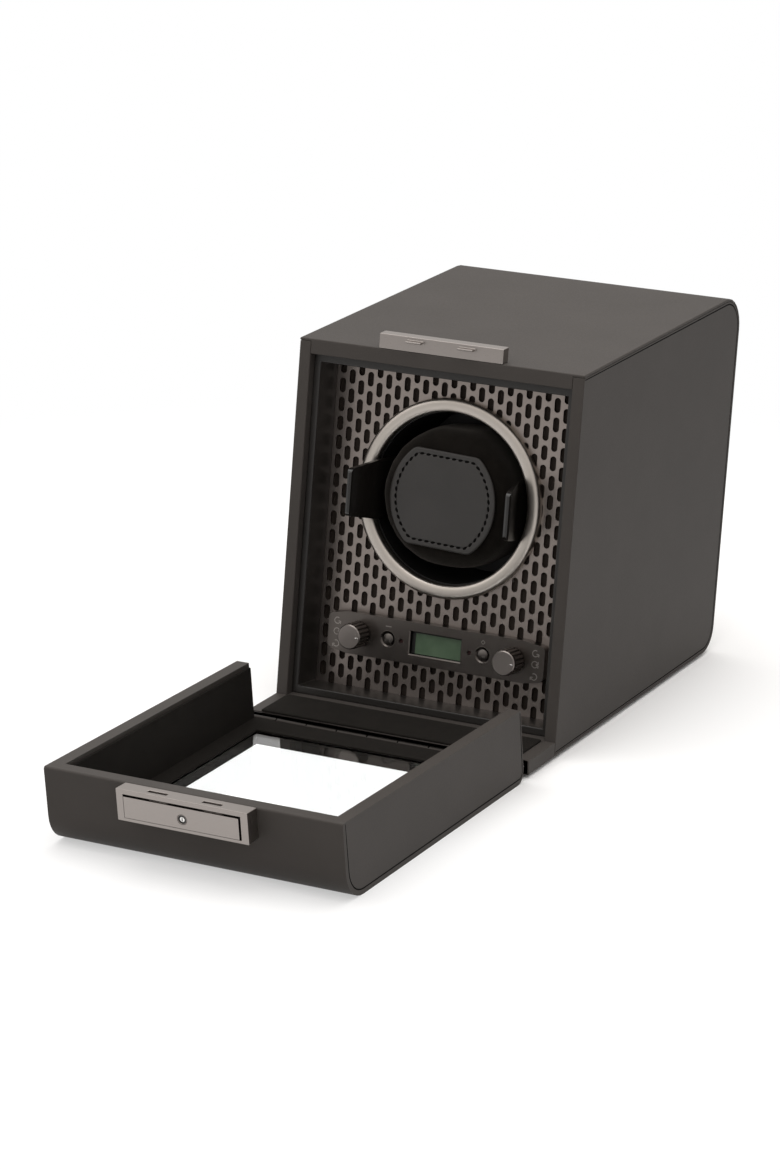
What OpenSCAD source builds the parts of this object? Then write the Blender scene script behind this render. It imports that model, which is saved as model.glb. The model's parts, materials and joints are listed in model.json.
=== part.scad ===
// Watch winder box: a leaning leather covered case with a glazed lid that drops
// forward on a piano hinge, and one motor driven drum that holds a watch cuff.

/* [Case] */
// Outside width of the case
case_w = 146; // [140:1:180]
// Height of the case above the table
case_h = 176; // [170:1:215]
// Depth at table level, from the foot of the front to the foot of the back
case_d = 179; // [165:1:220]
// Lean of the front and the back, degrees
lean = 8.2; // [4:0.2:12]
// Height of the feet
foot_h = 1.5; // [1:0.5:4]
// Thickness of the base and its tongue
base_t = 6.8; // [5:0.1:10]
// Thickness of the top wall
top_t = 7.1; // [5:0.1:10]
// Thickness of the back wall
back_t = 6; // [4:0.5:10]
// Thickness of each side panel
side_t = 5.8; // [4:0.1:9]
// Rounding of the top back edge
top_back_r = 16; // [6:1:24]
// Rounding of the bottom back edge
low_back_r = 13; // [6:1:20]
// Edge of the wrap left showing round a side panel
seam_in = 1.3; // [0.8:0.1:3]
// How far the base tongue stands out in front
tongue_l = 28.2; // [20:0.2:40]

/* [Front] */
// Depth of the perforated panel behind the rim
panel_in = 22; // [16:0.5:30]
// Thickness of the perforated panel
panel_t = 1.2; // [0.8:0.1:3]
// How far the lining starts behind the rim
liner_in = 4.4; // [1:0.1:10]
// Thickness of the lining at the sides
liner_t = 3.5; // [2:0.1:6]
// Top of the lower lining board above the tongue, up the slope
liner_low = 4.4; // [4:0.1:8]
// Bottom of the upper lining board below the top, down the slope
liner_high = 11; // [9:0.5:20]
// Width of one slot
slot_w = 3.1; // [2:0.1:5]
// Height of one slot
slot_l = 6.9; // [4:0.1:12]
// Distance between columns of slots
slot_col = 4.83; // [4.2:0.01:9]
// Distance between rows of slots
slot_row = 9.04; // [8:0.01:16]
// Height of the lowest slot, up the slope
slot_first = 6.4; // [5:0.1:12]

/* [Drum] */
// Height of the drum axis up the slope
drum_s = 100.7; // [95:0.1:115]
// Inner radius of the bezel ring
ring_ri = 40.6; // [38:0.1:44]
// Outer radius of the bezel ring
ring_ro = 46.6; // [45:0.1:52]
// How far the bezel ring stands out of the panel
ring_h = 4; // [2:0.1:6]
// Depth of the drum floor behind the rim
drum_in = 70; // [64:1:90]
// Wall of the drum cup
cup_t = 1.6; // [1.2:0.1:3]
// Radius of the drum shaft
shaft_r = 3; // [2:0.1:5]
// Gear module
gear_m = 1.5; // [1.5:0.25:1.75]
// Teeth of the drum gear
gear_teeth = 40; // [36:1:44]
// Teeth of the motor pinion
pinion_teeth = 12; // [12:1:16]
// Radius of the gear motor
motor_r = 16; // [12:0.5:18]

/* [Cuff] */
// Radius of the round watch cushion
cushion_r = 34.4; // [30:0.1:34.6]
// Half the height of the cushion where the strap goes round
cushion_hs = 32.6; // [28:0.1:33]
// Depth of the cushion from front to back
cushion_d = 43; // [38:0.5:46]
// Depth of the front of the cushion behind the rim
cushion_in = 14; // [12:0.5:18]
// Half the width of the stitched patch
patch_w = 27.4; // [20:0.1:28]
// Half the height of the stitched patch
patch_s = 23; // [16:0.1:24]
// Half the height of a wing at the ring
wing_hs = 14.2; // [11:0.1:15]
// Half the height of a wing's tip
tip_hs = 11; // [8:0.1:13]
// Thickness of a wing
wing_t = 1.5; // [1.2:0.1:2.2]
// How far the wing tips stand in front of the rim
wing_out = 3.3; // [0:0.1:8]

/* [Controls] */
// Half the width of the control plate
plate_hw = 56.5; // [54:0.5:58]
// Height of the control plate
plate_h = 20.1; // [18:0.1:22]
// Height of the middle of the control plate, up the slope
plate_s = 30.9; // [28:0.1:34]
// How far the control plate stands out of the panel
plate_out = 5; // [3:0.1:7]
// Radius of a knob
knob_r = 6.15; // [5:0.05:8]
// Length of a knob
knob_l = 10; // [7:0.1:14]
// Distance of each knob from the middle
knob_x = 40.3; // [38:0.1:44]
// Radius of a button
button_r = 2.7; // [2:0.05:3.5]
// Distance of each button from the middle
button_x = 24.7; // [22:0.1:28]
// Travel of a button
button_travel = 0.6; // [0.3:0.1:1]
// Distance of each lamp from the middle
led_x = 17.8; // [15.5:0.1:20]
// Width of the display window
screen_w = 26.6; // [20:0.1:28]
// Height of the display window
screen_h = 10.7; // [8:0.1:12]

/* [Lid] */
// Lean of the closed lid's outer face, degrees
lid_lean = 7.4; // [3:0.2:11]
// Thickness of each side wall of the lid
lid_side_t = 6.3; // [4:0.1:9]
// Thickness of the latch end wall of the lid
lid_end_t = 8.5; // [6:0.5:12]
// Thickness of the window frame
lid_plate_t = 7.2; // [6:0.1:10]
// Width of the leather round the window
window_margin = 17.5; // [14:0.5:24]
// Thickness of the glass
glass_t = 2; // [1.5:0.5:4]
// Rounding of the lid's edge below the latch
lid_top_r = 16; // [4:0.5:18]
// Rounding of the lid's edge at the hinge
lid_low_r = 5.5; // [3:0.5:8]
// Height of the hinge axis above the table
hinge_z = 5.8; // [4.6:0.1:8]
// Radius of the hinge barrel
hinge_r = 1.9; // [1.6:0.1:2.6]
// Number of hinge knuckles
knuckles = 9; // [5:2:13]

/* [Latch] */
// Width of the latch and the catch
latch_w = 64; // [40:1:90]
// Depth of the latch along the top of the lid
latch_l = 14.5; // [12:0.5:20]
// Height of the latch above the lid
latch_h = 8.3; // [7.6:0.1:12]
// Height of the catch bar above the case
catch_h = 6.8; // [6.6:0.1:8]
// Depth of the catch bar
catch_d = 5.5; // [3:0.5:8]
// Distance of each hook from the middle
hook_x = 13.3; // [10:0.1:24]
// Width of a hook
hook_w = 8; // [5:0.5:12]
// Travel of the push bar
push_travel = 1; // [0.6:0.1:1.1]

/* [Fits] */
// Gap between the closed lid and the case
lid_gap = 0.4; // [0.2:0.05:1]
// Radial clearance of shafts and pins that turn
run_fit = 0.05; // [0.02:0.01:0.1]
// Gap round parts that slide
slide_gap = 0.3; // [0.2:0.05:0.6]
// Gap round parts that only sit
seat_gap = 0.15; // [0:0.05:0.3]

/* [Hidden] */
$fn = 64;

leather = [0.13, 0.13, 0.125];
suede = [0.07, 0.065, 0.06];
gunmetal = [0.42, 0.39, 0.37];
champagne = [0.62, 0.58, 0.54];
black_plastic = [0.06, 0.06, 0.06];
steel = [0.7, 0.7, 0.7];

// ---- heights, slopes and the closed lid's outline, in the plane of y and z
base_top = foot_h + base_t;
front_s = (case_h - base_top) / cos(lean);
inner_x = case_w / 2 - side_t;
liner_x = inner_x - liner_t;
liner_top = front_s - liner_high;

function front_y(z) = (z - base_top) * tan(lean);
function back_y(z) = case_d + z * tan(lean);
function rim_y(z) = front_y(z) - lid_gap / cos(lean);
// heights up the slope at which a plane n behind the rim meets the base and the ceiling
function floor_s(n) = n * tan(lean);
function ceiling_s(n) = (case_h - top_t - base_top + n * sin(lean)) / cos(lean);

leaf_t = 1;
barrel_gap = 0.25;
hinge_y = -tongue_l - barrel_gap - hinge_r;
close_angle = 90 + lid_lean;
lid_low = base_top + lid_gap;
face_y = hinge_y - hinge_z * cos(lid_lean);
face_z = hinge_z + hinge_z * sin(lid_lean);
function lid_face_y(z) = face_y + (z - face_z) * tan(lid_lean);
lid_len = (case_h - lid_low) / cos(lid_lean);

// ---- the middle of the box with its lid dropped open lies over the origin
back_reach = back_y(case_h - top_back_r) - top_back_r / cos(lean) + top_back_r;
latch_reach = (case_h + latch_h - hinge_z) * sin(close_angle)
    - (rim_y(case_h + latch_h) - hinge_y) * cos(close_angle) - hinge_y;
origin_y = (latch_reach - back_reach) / 2;

// ---- outlines with rounded or set-in edges
function unit(v) = v / norm(v);
function arc_at(a, b, c, r, n) =
    r <= 0 ? [b] : let (
        u = unit(a - b),
        w = unit(c - b),
        half = acos(u * w) / 2,
        mid = b + unit(u + w) * r / sin(half),
        from = b + u * r / tan(half) - mid,
        to = b + w * r / tan(half) - mid,
        start = atan2(from[1], from[0]),
        turn = atan2(to[1], to[0]) - start,
        sweep = turn > 180 ? turn - 360 : turn < -180 ? turn + 360 : turn
    ) [for (i = [0:n]) mid + r * [cos(start + sweep * i / n), sin(start + sweep * i / n)]];
function rounded(points, radii, n = 8) = let (k = len(points)) [
    for (i = [0:k - 1]) each arc_at(points[(i + k - 1) % k], points[i], points[(i + 1) % k], radii[i], n)
];
function shifted(p, q, d) = let (u = unit(q - p)) [p + d * [-u[1], u[0]], u];
function meet(l, m) = let (
    cross = l[1][0] * m[1][1] - l[1][1] * m[1][0],
    gap = m[0] - l[0],
    t = (gap[0] * m[1][1] - gap[1] * m[1][0]) / cross
) l[0] + l[1] * t;
// Each edge of an anticlockwise outline moved inwards by its own distance
function inset(points, by) = let (k = len(points)) [
    for (i = [0:k - 1]) meet(
        shifted(points[(i + k - 1) % k], points[i], by[(i + k - 1) % k]),
        shifted(points[i], points[(i + 1) % k], by[i])
    )
];

// ---- places
module placed() translate([0, origin_y, 0]) children();
// An outline in the plane of y and z, as wide as w about x
module across(w, x = 0) translate([x, 0, 0]) rotate([90, 0, 90]) linear_extrude(w, center = true) children();
// x to the right, y up the slope, z out of the front; n is how far behind the rim
module on_front(n = 0) translate([0, 0, base_top]) rotate([90 - lean, 0, 0]) translate([0, 0, -n]) children();
module at_drum(n = 0) on_front(n) translate([0, drum_s, 0]) children();
// The lid is drawn closed and dropped open about its hinge
module open_lid() translate([0, hinge_y, hinge_z]) rotate([close_angle, 0, 0])
    translate([0, -hinge_y, -hinge_z]) children();
module mirrored(side) mirror([side < 0 ? 1 : 0, 0, 0]) children();

module tube(ro, ri, h) difference() {
    cylinder(r = ro, h = h);
    translate([0, 0, -1]) cylinder(r = ri, h = h + 2);
}
module slab(w, h, t) translate([-w / 2, -h / 2, 0]) cube([w, h, t]);
// A flat board in the front's frame with corners of radius r
module board(w, h, t, r) linear_extrude(t)
    polygon(rounded([[-w / 2, -h / 2], [w / 2, -h / 2], [w / 2, h / 2], [-w / 2, h / 2]], [r, r, r, r]));
module screw(r, l) union() {
    cylinder(r = r, h = l);
    translate([0, 0, l]) cylinder(r = r * 1.9, h = r * 0.9);
}

// ================= case
case_corners = [
    [-tongue_l, foot_h], [back_y(foot_h), foot_h], [back_y(case_h), case_h],
    [front_y(case_h), case_h], [0, base_top], [-tongue_l, base_top]
];
side_corners = inset(
    [[front_y(foot_h), foot_h], [back_y(foot_h), foot_h], [back_y(case_h), case_h], [front_y(case_h), case_h]],
    [seam_in, seam_in, seam_in, 0]
);
side_outline = rounded(side_corners, [0, low_back_r - seam_in, top_back_r - seam_in, 0]);
mouth = 20;
// The recess for a side panel runs out through the front, above the tongue
side_recess = concat(side_outline, [
    side_corners[3] - [mouth, 0], [-mouth, base_top], [0, base_top]
]);
cavity_corners = inset(
    [[front_y(foot_h), foot_h], [back_y(foot_h), foot_h], [back_y(case_h), case_h], [front_y(case_h), case_h]],
    [base_t, back_t, top_t, -mouth]
);
pad_t = 0.9;
pad_margin = 0.6;
foot_r = 7;
foot_x = case_w / 2 - 11;
jack_r = 5.5;
jack_z = 24;
hinge_w = case_w - 3;
leaf_screws = 4;
leaf_screw_x = [for (i = [0:leaf_screws - 1]) (i - (leaf_screws - 1) / 2) * hinge_w / (leaf_screws + 0.5)];
leaf_screw_z = foot_h + 2.4;
leaf_screw_r = 0.8;
jack_y = back_y(base_top + jack_z);

module cavity(grow = 0) across(2 * inner_x + 2 * grow) polygon(cavity_corners);
module rebate(x) translate([x, 0, 0]) across(side_t) polygon(side_recess);
module at_jack() translate([0, jack_y, base_top + jack_z]) rotate([-90 - lean, 0, 0]) children();

module case_wrap() color(leather) difference() {
    across(case_w) polygon(rounded(case_corners, [0, low_back_r, top_back_r, 0, 0, 0]));
    cavity();
    for (s = [-1, 1]) rebate(s * (case_w - side_t) / 2);
    translate([0, -tongue_l, 0]) across(hinge_w + seat_gap)
        polygon([[-1, foot_h + 0.6], [leaf_t, foot_h + 0.6], [leaf_t, base_top + 1], [-1, base_top + 1]]);
    at_jack() translate([0, 0, -back_t - 2]) cylinder(r = jack_r + seat_gap, h = back_t + 4);
}
module side_panel() color(leather) across(side_t) polygon(side_outline);
module side_panel_left() translate([-(case_w - side_t) / 2, 0, 0]) side_panel();
module side_panel_right() translate([(case_w - side_t) / 2, 0, 0]) side_panel();
module tongue_pad() color(suede)
    translate([0, (leaf_t - tongue_l) / 2, base_top])
    board(2 * inner_x - 2 * pad_margin, tongue_l - leaf_t - 2 * pad_margin, pad_t, 1.5);
module feet() color(black_plastic)
    for (x = [-foot_x, foot_x], y = [14, case_d - 22]) translate([x, y, 0]) cylinder(r = foot_r, h = foot_h);

// ================= front panel
module inner_liner() color(leather) intersection() {
    on_front(panel_in) difference() {
        translate([-inner_x, 0, 0]) cube([2 * inner_x, front_s + 5, panel_in - liner_in]);
        translate([-liner_x, liner_low, -1])
            cube([2 * liner_x, liner_top - liner_low, panel_in]);
    }
    cavity();
}

function slot_shows(x, s) =
    norm([x, s - drum_s]) > ring_ro - 1.4
    && !(abs(x) < plate_hw - 0.5 && abs(s - plate_s) < plate_h / 2 - 1.6);
module slot() union() {
    square([slot_w, slot_l - slot_w], center = true);
    for (s = [-1, 1]) translate([0, s * (slot_l - slot_w) / 2]) circle(d = slot_w);
}
panel_low = floor_s(panel_in + panel_t) + seat_gap;
panel_high = ceiling_s(panel_in) - seat_gap;
tray_hw = plate_hw - 6;
tray_h = plate_h - 5;
module panel_slots() {
    cols = floor((liner_x - slot_w / 2) / slot_col - 0.5);
    rows = floor((liner_top - slot_first) / (slot_row / 2));
    for (c = [-cols - 1:cols], r = [0:rows])
        if ((c + r + 200) % 2 == 0) {
            x = (c + 0.5) * slot_col;
            s = slot_first + r * slot_row / 2;
            if (slot_shows(x, s)) translate([x, s]) slot();
        }
}
module perforated_panel() color(champagne) on_front(panel_in + panel_t) linear_extrude(panel_t) difference() {
    translate([-inner_x + seat_gap, panel_low]) square([2 * (inner_x - seat_gap), panel_high - panel_low]);
    translate([0, drum_s]) circle(r = ring_ri + 0.2);
    translate([-tray_hw, plate_s - tray_h / 2]) square([2 * tray_hw, tray_h]);
    panel_slots();
}

board_n = panel_in + panel_t;
board_t = 3;
cup_ri = ring_ri - 0.2;
cup_ro = cup_ri + cup_t;
cup_front = board_n + 0.6;
housing_ri = cup_ro + 1;
housing_t = 1.8;
housing_ro = housing_ri + housing_t;
housing_flange = housing_ro + 7;
board_low = floor_s(board_n + board_t) + seat_gap;
board_high = ceiling_s(board_n) - seat_gap;
flange_screws = [45, 135, 225, 315];

module backing_board() color([0.1, 0.08, 0.06]) on_front(board_n + board_t) linear_extrude(board_t) difference() {
    translate([-inner_x + seat_gap, board_low]) square([2 * (inner_x - seat_gap), board_high - board_low]);
    translate([0, drum_s]) circle(r = housing_ri);
    translate([-tray_hw, plate_s - tray_h / 2]) square([2 * tray_hw, tray_h]);
    for (a = flange_screws) translate([0, drum_s]) rotate(a) translate([housing_ro + 3.5, 0]) circle(r = 1);
}
module panel_screws() color(steel)
    for (a = flange_screws) at_drum(board_n + board_t + 2) rotate(a) translate([housing_ro + 3.5, 0, 0])
        rotate([180, 0, 0]) translate([0, 0, -2 - board_t + 0.5]) screw(1, board_t + 1.5);

module bezel_ring() color(champagne) at_drum(panel_in) rotate_extrude() polygon(rounded(
    [[ring_ri, 0], [ring_ro, 0], [ring_ro, ring_h], [ring_ri, ring_h]], [0, 0, 1.8, 0.9], 6));

// ================= drum, its housing and its drive
floor_t = 3;
rear_gap = 1;
rear_t = 3;
rear_n = drum_in + floor_t + rear_gap;
bearing_r = 8;
gear_w = 6;
gear_n = rear_n + rear_t + 2;
gear_addendum = 0.85 * gear_m;
gear_dedendum = 1.15 * gear_m;
pitch_r = gear_m * gear_teeth / 2;
pinion_r = gear_m * pinion_teeth / 2;
axle_gap = pitch_r + pinion_r;
bracket_n = gear_n + gear_w + 3;
bracket_t = 2;
posts = [[-34, 22], [34, 22], [-34, -22], [34, -22]];
post_r = 2.6;
motor_shaft_r = 2.5;

module drum_housing() color(black_plastic) at_drum(rear_n + rear_t) difference() {
    union() {
        cylinder(r = housing_ro, h = rear_n + rear_t - board_n - board_t);
        translate([0, 0, rear_n + rear_t - board_n - board_t - 2]) cylinder(r = housing_flange, h = 2);
    }
    translate([0, 0, rear_t]) cylinder(r = housing_ri, h = rear_n);
    translate([0, 0, -1]) cylinder(r = bearing_r, h = rear_t + 2);
    for (a = flange_screws) rotate(a) translate([housing_ro + 3.5, 0, rear_n + rear_t - board_n - board_t - 3])
        cylinder(r = 1, h = 4);
    for (p = posts) translate([p[0], p[1], -1]) cylinder(r = 1.2, h = rear_t + 2);
}
module drum_bearing() color(steel) at_drum(rear_n + rear_t) tube(bearing_r, shaft_r + run_fit, rear_t);
module drum_cup() color(black_plastic) at_drum(drum_in + floor_t) difference() {
    cylinder(r = cup_ro, h = drum_in + floor_t - cup_front);
    translate([0, 0, floor_t]) cylinder(r = cup_ri, h = drum_in);
    translate([0, 0, -1]) cylinder(r = shaft_r, h = floor_t + 2);
}
module drum_shaft() color(steel) at_drum(gear_n + gear_w)
    cylinder(r = shaft_r, h = gear_n + gear_w - drum_in);

pressure = 25;
backlash = 0.12;
function polar(r, a) = [r * cos(a), r * sin(a)];
function roll(rb, r) = r <= rb ? 0 : sqrt(pow(r / rb, 2) - 1) * 180 / PI - acos(rb / r);
// The outline of a gear: flanks follow the involute of the base circle
function gear_outline(teeth, add) = let (
    rp = gear_m * teeth / 2,
    rb = rp * cos(pressure),
    ra = rp + add,
    rr = rp - gear_dedendum,
    half = 90 / teeth - backlash / rp * 90 / PI + roll(rb, rp),
    low = max(rb, rr + 0.05),
    radii = [for (i = [0:4]) low + (ra - low) * i / 4],
    flank = [for (r = radii) [r, half - roll(rb, r)]]
) [
    for (k = [0:teeth - 1]) each [
        polar(rr, k * 360 / teeth - flank[0][1]),
        for (i = [0:4]) polar(flank[i][0], k * 360 / teeth - flank[i][1]),
        for (i = [4:-1:0]) polar(flank[i][0], k * 360 / teeth + flank[i][1]),
        polar(rr, k * 360 / teeth + flank[0][1])
    ]
];
module drum_gear() color([0.85, 0.83, 0.78]) at_drum(gear_n + gear_w) difference() {
    linear_extrude(gear_w) rotate(-90) polygon(gear_outline(gear_teeth, gear_addendum));
    translate([0, 0, -1]) cylinder(r = shaft_r, h = gear_w + 2);
}
module at_motor(n) at_drum(n) translate([0, -axle_gap, 0]) children();
module motor_pinion() color([0.8, 0.7, 0.4]) at_motor(gear_n + gear_w) difference() {
    linear_extrude(gear_w) rotate(90 + 180 / pinion_teeth) polygon(gear_outline(pinion_teeth, gear_addendum));
    translate([0, 0, -1]) cylinder(r = motor_shaft_r + run_fit, h = gear_w + 2);
}
module motor_bracket() color(steel) at_drum(bracket_n + bracket_t) {
    difference() {
        union() {
            translate([0, -axle_gap / 2 + 4, 0]) board(80, axle_gap + 56, bracket_t, 6);
            for (p = posts) translate([p[0], p[1], 0]) cylinder(r = post_r, h = bracket_n + bracket_t - rear_n - rear_t);
        }
        for (p = posts) translate([p[0], p[1], -1]) cylinder(r = 1.2, h = bracket_n);
        translate([0, -axle_gap, -1]) cylinder(r = motor_shaft_r + 2.5, h = bracket_t + 2);
    }
}
module bracket_screws() color(steel)
    for (p = posts) at_drum(bracket_n + bracket_t) translate([p[0], p[1], 0])
        rotate([180, 0, 0]) translate([0, 0, -(bracket_n + bracket_t - rear_n - 1)])
        screw(1.2, bracket_n + bracket_t - rear_n - 1);
module gear_motor() color(steel) at_motor(bracket_n + bracket_t) union() {
    translate([0, 0, -20]) cylinder(r = motor_r, h = 20);
    translate([0, 0, -44]) cylinder(r = motor_r - 3.5, h = 24);
    translate([0, 0, -47]) cylinder(r = 3, h = 3);
    cylinder(r = motor_shaft_r, h = bracket_n + bracket_t - gear_n - 0.5);
    for (x = [-6, 6]) translate([x, 0, -48]) slab(3, 1, 5);
}
module power_jack() color(black_plastic) at_jack() difference() {
    union() {
        translate([0, 0, -back_t - 9]) cylinder(r = jack_r, h = back_t + 9 + 0.4);
        translate([0, 0, -back_t - 9]) cylinder(r = jack_r + 1.6, h = 9);
    }
    translate([0, 0, -back_t - 6]) tube(2.8, 1, back_t + 8);
}

// ================= control plate and what it holds
plate_n = panel_in - plate_out;
plate_face_t = 1.6;
plate_back = plate_n + plate_face_t;
drop = 2;
screen_in = 2.6;
glass_thin = 1.2;
tray_wall = 3;
switch_n = plate_back + 7;
pcb_n = switch_n + 4;
pcb_t = 1.6;
tray_n = pcb_n + pcb_t + 3;
tray_t = 1.4;
bush_r = 3;
lamp_r = 1.1;
plate_corners = [
    [-plate_hw, -plate_h / 2 + drop], [-plate_hw + 10, -plate_h / 2], [plate_hw - 10, -plate_h / 2],
    [plate_hw, -plate_h / 2 + drop], [plate_hw, plate_h / 2 - drop], [plate_hw - 10, plate_h / 2],
    [-plate_hw + 10, plate_h / 2], [-plate_hw, plate_h / 2 - drop]
];
plate_radii = [2.5, 20, 20, 2.5, 2.5, 20, 20, 2.5];

module at_plate(n = 0, x = 0) on_front(n) translate([x, plate_s, 0]) children();
module control_plate() color(gunmetal) at_plate(panel_in) difference() {
    linear_extrude(plate_out) polygon(rounded(plate_corners, plate_radii, 5));
    translate([0, 0, -1]) linear_extrude(plate_out - plate_face_t + 1)
        polygon(rounded(inset(plate_corners, [for (i = [0:7]) 1.4]), [1.5, 18, 18, 1.5, 1.5, 18, 18, 1.5], 5));
    translate([0, 0, -1]) slab(screen_w, screen_h, plate_out + 2);
    for (s = [-1, 1]) {
        translate([s * button_x, 0, -1]) cylinder(r = button_r + slide_gap, h = plate_out + 2);
        translate([s * button_x, 0, plate_out - 0.7]) cylinder(r1 = button_r + slide_gap, r2 = button_r + 1, h = 0.71);
        translate([s * led_x, 0, -1]) cylinder(r = lamp_r, h = plate_out + 2);
        translate([s * knob_x, 0, -1]) cylinder(r = bush_r + seat_gap, h = plate_out + 2);
    }
}
module control_tray() color(black_plastic) at_plate(tray_n + tray_t) difference() {
    slab(2 * tray_hw - 2 * seat_gap, tray_h - 2 * seat_gap, tray_n + tray_t - plate_back);
    translate([0, 0, tray_t]) slab(2 * tray_hw - tray_wall, tray_h - tray_wall, tray_n);
}
module circuit_board() color([0.1, 0.35, 0.2]) at_plate(pcb_n + pcb_t)
    slab(2 * tray_hw - tray_wall, tray_h - tray_wall, pcb_t);
module lcd_display() color([0.1, 0.1, 0.1]) at_plate(pcb_n)
    slab(screen_w + 4, min(tray_h - tray_wall, screen_h + 2), pcb_n - plate_n - screen_in - glass_thin);
module lcd_window() color([0.3, 0.42, 0.33]) at_plate(plate_n + screen_in + glass_thin)
    slab(screen_w - 2 * seat_gap, screen_h - 2 * seat_gap, glass_thin);
module status_leds() color([0.5, 0.05, 0.05]) for (s = [-1, 1]) at_plate(pcb_n, s * led_x) union() {
    cylinder(r = lamp_r - 0.05, h = pcb_n - plate_n - 1.2);
    cylinder(r = lamp_r + 0.4, h = 3);
}
module rotary_switches() color(steel) for (s = [-1, 1]) at_plate(pcb_n, s * knob_x) difference() {
    union() {
        slab(11, 11, pcb_n - plate_back);
        cylinder(r = bush_r, h = pcb_n - plate_n);
    }
    translate([0, 0, 1.5]) cylinder(r = 1.6 + run_fit, h = 40);
}
flange_t = 0.8;
module button_switches() color(black_plastic) for (s = [-1, 1]) at_plate(pcb_n, s * button_x) union() {
    slab(6, 6, 3.5);
    cylinder(r = 1.6, h = pcb_n - plate_back - flange_t - slide_gap - button_travel - 0.1);
}
module knob(s) color([0.5, 0.47, 0.45]) at_plate(plate_n - slide_gap, s * knob_x) difference() {
    union() {
        cylinder(r = knob_r - 0.35, h = knob_l);
        for (a = [0:20:340]) rotate(a) translate([knob_r - 0.75, 0, 0]) cylinder(r = 0.75, h = knob_l - 1.2);
    }
    translate([0, 0, -1]) cylinder(r = 1.6, h = knob_l - 1);
    rotate(s > 0 ? 0 : 180) translate([knob_r - 3.4, -0.3, knob_l - 0.35]) cube([2.6, 0.6, 1]);
}
module knob_left() knob(-1);
module knob_right() knob(1);
module knob_shaft(s) color(steel) at_plate(pcb_n - 1.8, s * knob_x)
    cylinder(r = 1.6, h = pcb_n - 1.8 - plate_n + slide_gap + knob_l - 2);
module knob_shaft_left() knob_shaft(-1);
module knob_shaft_right() knob_shaft(1);
module button(s) color([0.3, 0.28, 0.27]) at_plate(plate_back + slide_gap + flange_t, s * button_x) union() {
    cylinder(r = button_r + slide_gap + 0.7, h = flange_t);
    cylinder(r = button_r, h = flange_t + slide_gap + plate_face_t - 0.7);
    translate([0, 0, flange_t + slide_gap + plate_face_t - 0.7]) intersection() {
        cylinder(r = button_r, h = 3);
        translate([0, 0, -3.4]) sphere(r = 4.6);
    }
}
module button_left() button(-1);
module button_right() button(1);

// ================= cuff
base_n = drum_in - slide_gap;
base_h = 3.6;
pin_n = base_n - base_h - 4.4;
cushion_back = cushion_in + cushion_d;
core_skin = 8;
boss_r = 2.3;
wing_x = min(cup_ri - 0.6, sqrt(pow(cup_ri - 0.55, 2) - pow(wing_hs, 2)));
pin_x = wing_x - boss_r;
wing_inner = wing_x - wing_t;
pin_r = 1;
tip_x = wing_x + 4.9;
lip_t = 2.7;
strap_hw = 23;
block_w = 9;
core_hw = 28;
core_hs = 14;

module cuff_base() color(black_plastic) at_drum(base_n) difference() {
    union() {
        cylinder(r = cup_ri - 0.5, h = base_h);
        for (s = [-1, 1]) translate([s * (strap_hw + block_w / 2), 0, 0])
            slab(block_w, 2 * core_hs, base_n - cushion_back);
        for (s = [-1, 1]) translate([s * pin_x, 0, base_n - pin_n]) rotate([90, 0, 0])
            cylinder(r = boss_r, h = 9, center = true);
        for (s = [-1, 1]) translate([s * (pin_x - 0.4), 0, 0]) slab(2 * boss_r - 0.8, 9, base_n - pin_n);
    }
    for (s = [-1, 1]) translate([s * pin_x, 0, base_n - pin_n]) rotate([90, 0, 0])
        cylinder(r = pin_r, h = 20, center = true);
}
module cuff_core() color(black_plastic) at_drum(cushion_back)
    slab(2 * core_hw, 2 * core_hs, cushion_d - core_skin);
module cushion_profile() polygon(rounded(
    [[-cushion_hs, 0], [cushion_hs, 0], [cushion_hs, cushion_d], [-cushion_hs, cushion_d]], [14, 14, 14, 14]));
module cuff_cushion() color(suede) at_drum(cushion_back) difference() {
    intersection() {
        cylinder(r = cushion_r, h = cushion_d);
        rotate([90, 0, 90]) linear_extrude(2 * cushion_r + 2, center = true) cushion_profile();
    }
    translate([0, 0, -1]) slab(2 * core_hw, 2 * core_hs, cushion_d - core_skin + 1);
}
patch_t = 1.3;
patch_flat = patch_w * 0.6;
bulge_r = (pow(patch_s, 2) + pow(patch_w - patch_flat, 2)) / (2 * (patch_w - patch_flat));
module cuff_patch() color(leather) at_drum(cushion_in) linear_extrude(patch_t) intersection() {
    square([2 * patch_w, 2 * patch_s], center = true);
    translate([bulge_r - patch_w, 0]) circle(r = bulge_r);
    translate([patch_w - bulge_r, 0]) circle(r = bulge_r);
}
module wing_pins() color(steel) for (s = [-1, 1]) at_drum(pin_n) translate([s * pin_x, 0, 0]) rotate([90, 0, 0])
    cylinder(r = pin_r, h = 2 * wing_hs - 0.6, center = true);
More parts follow.
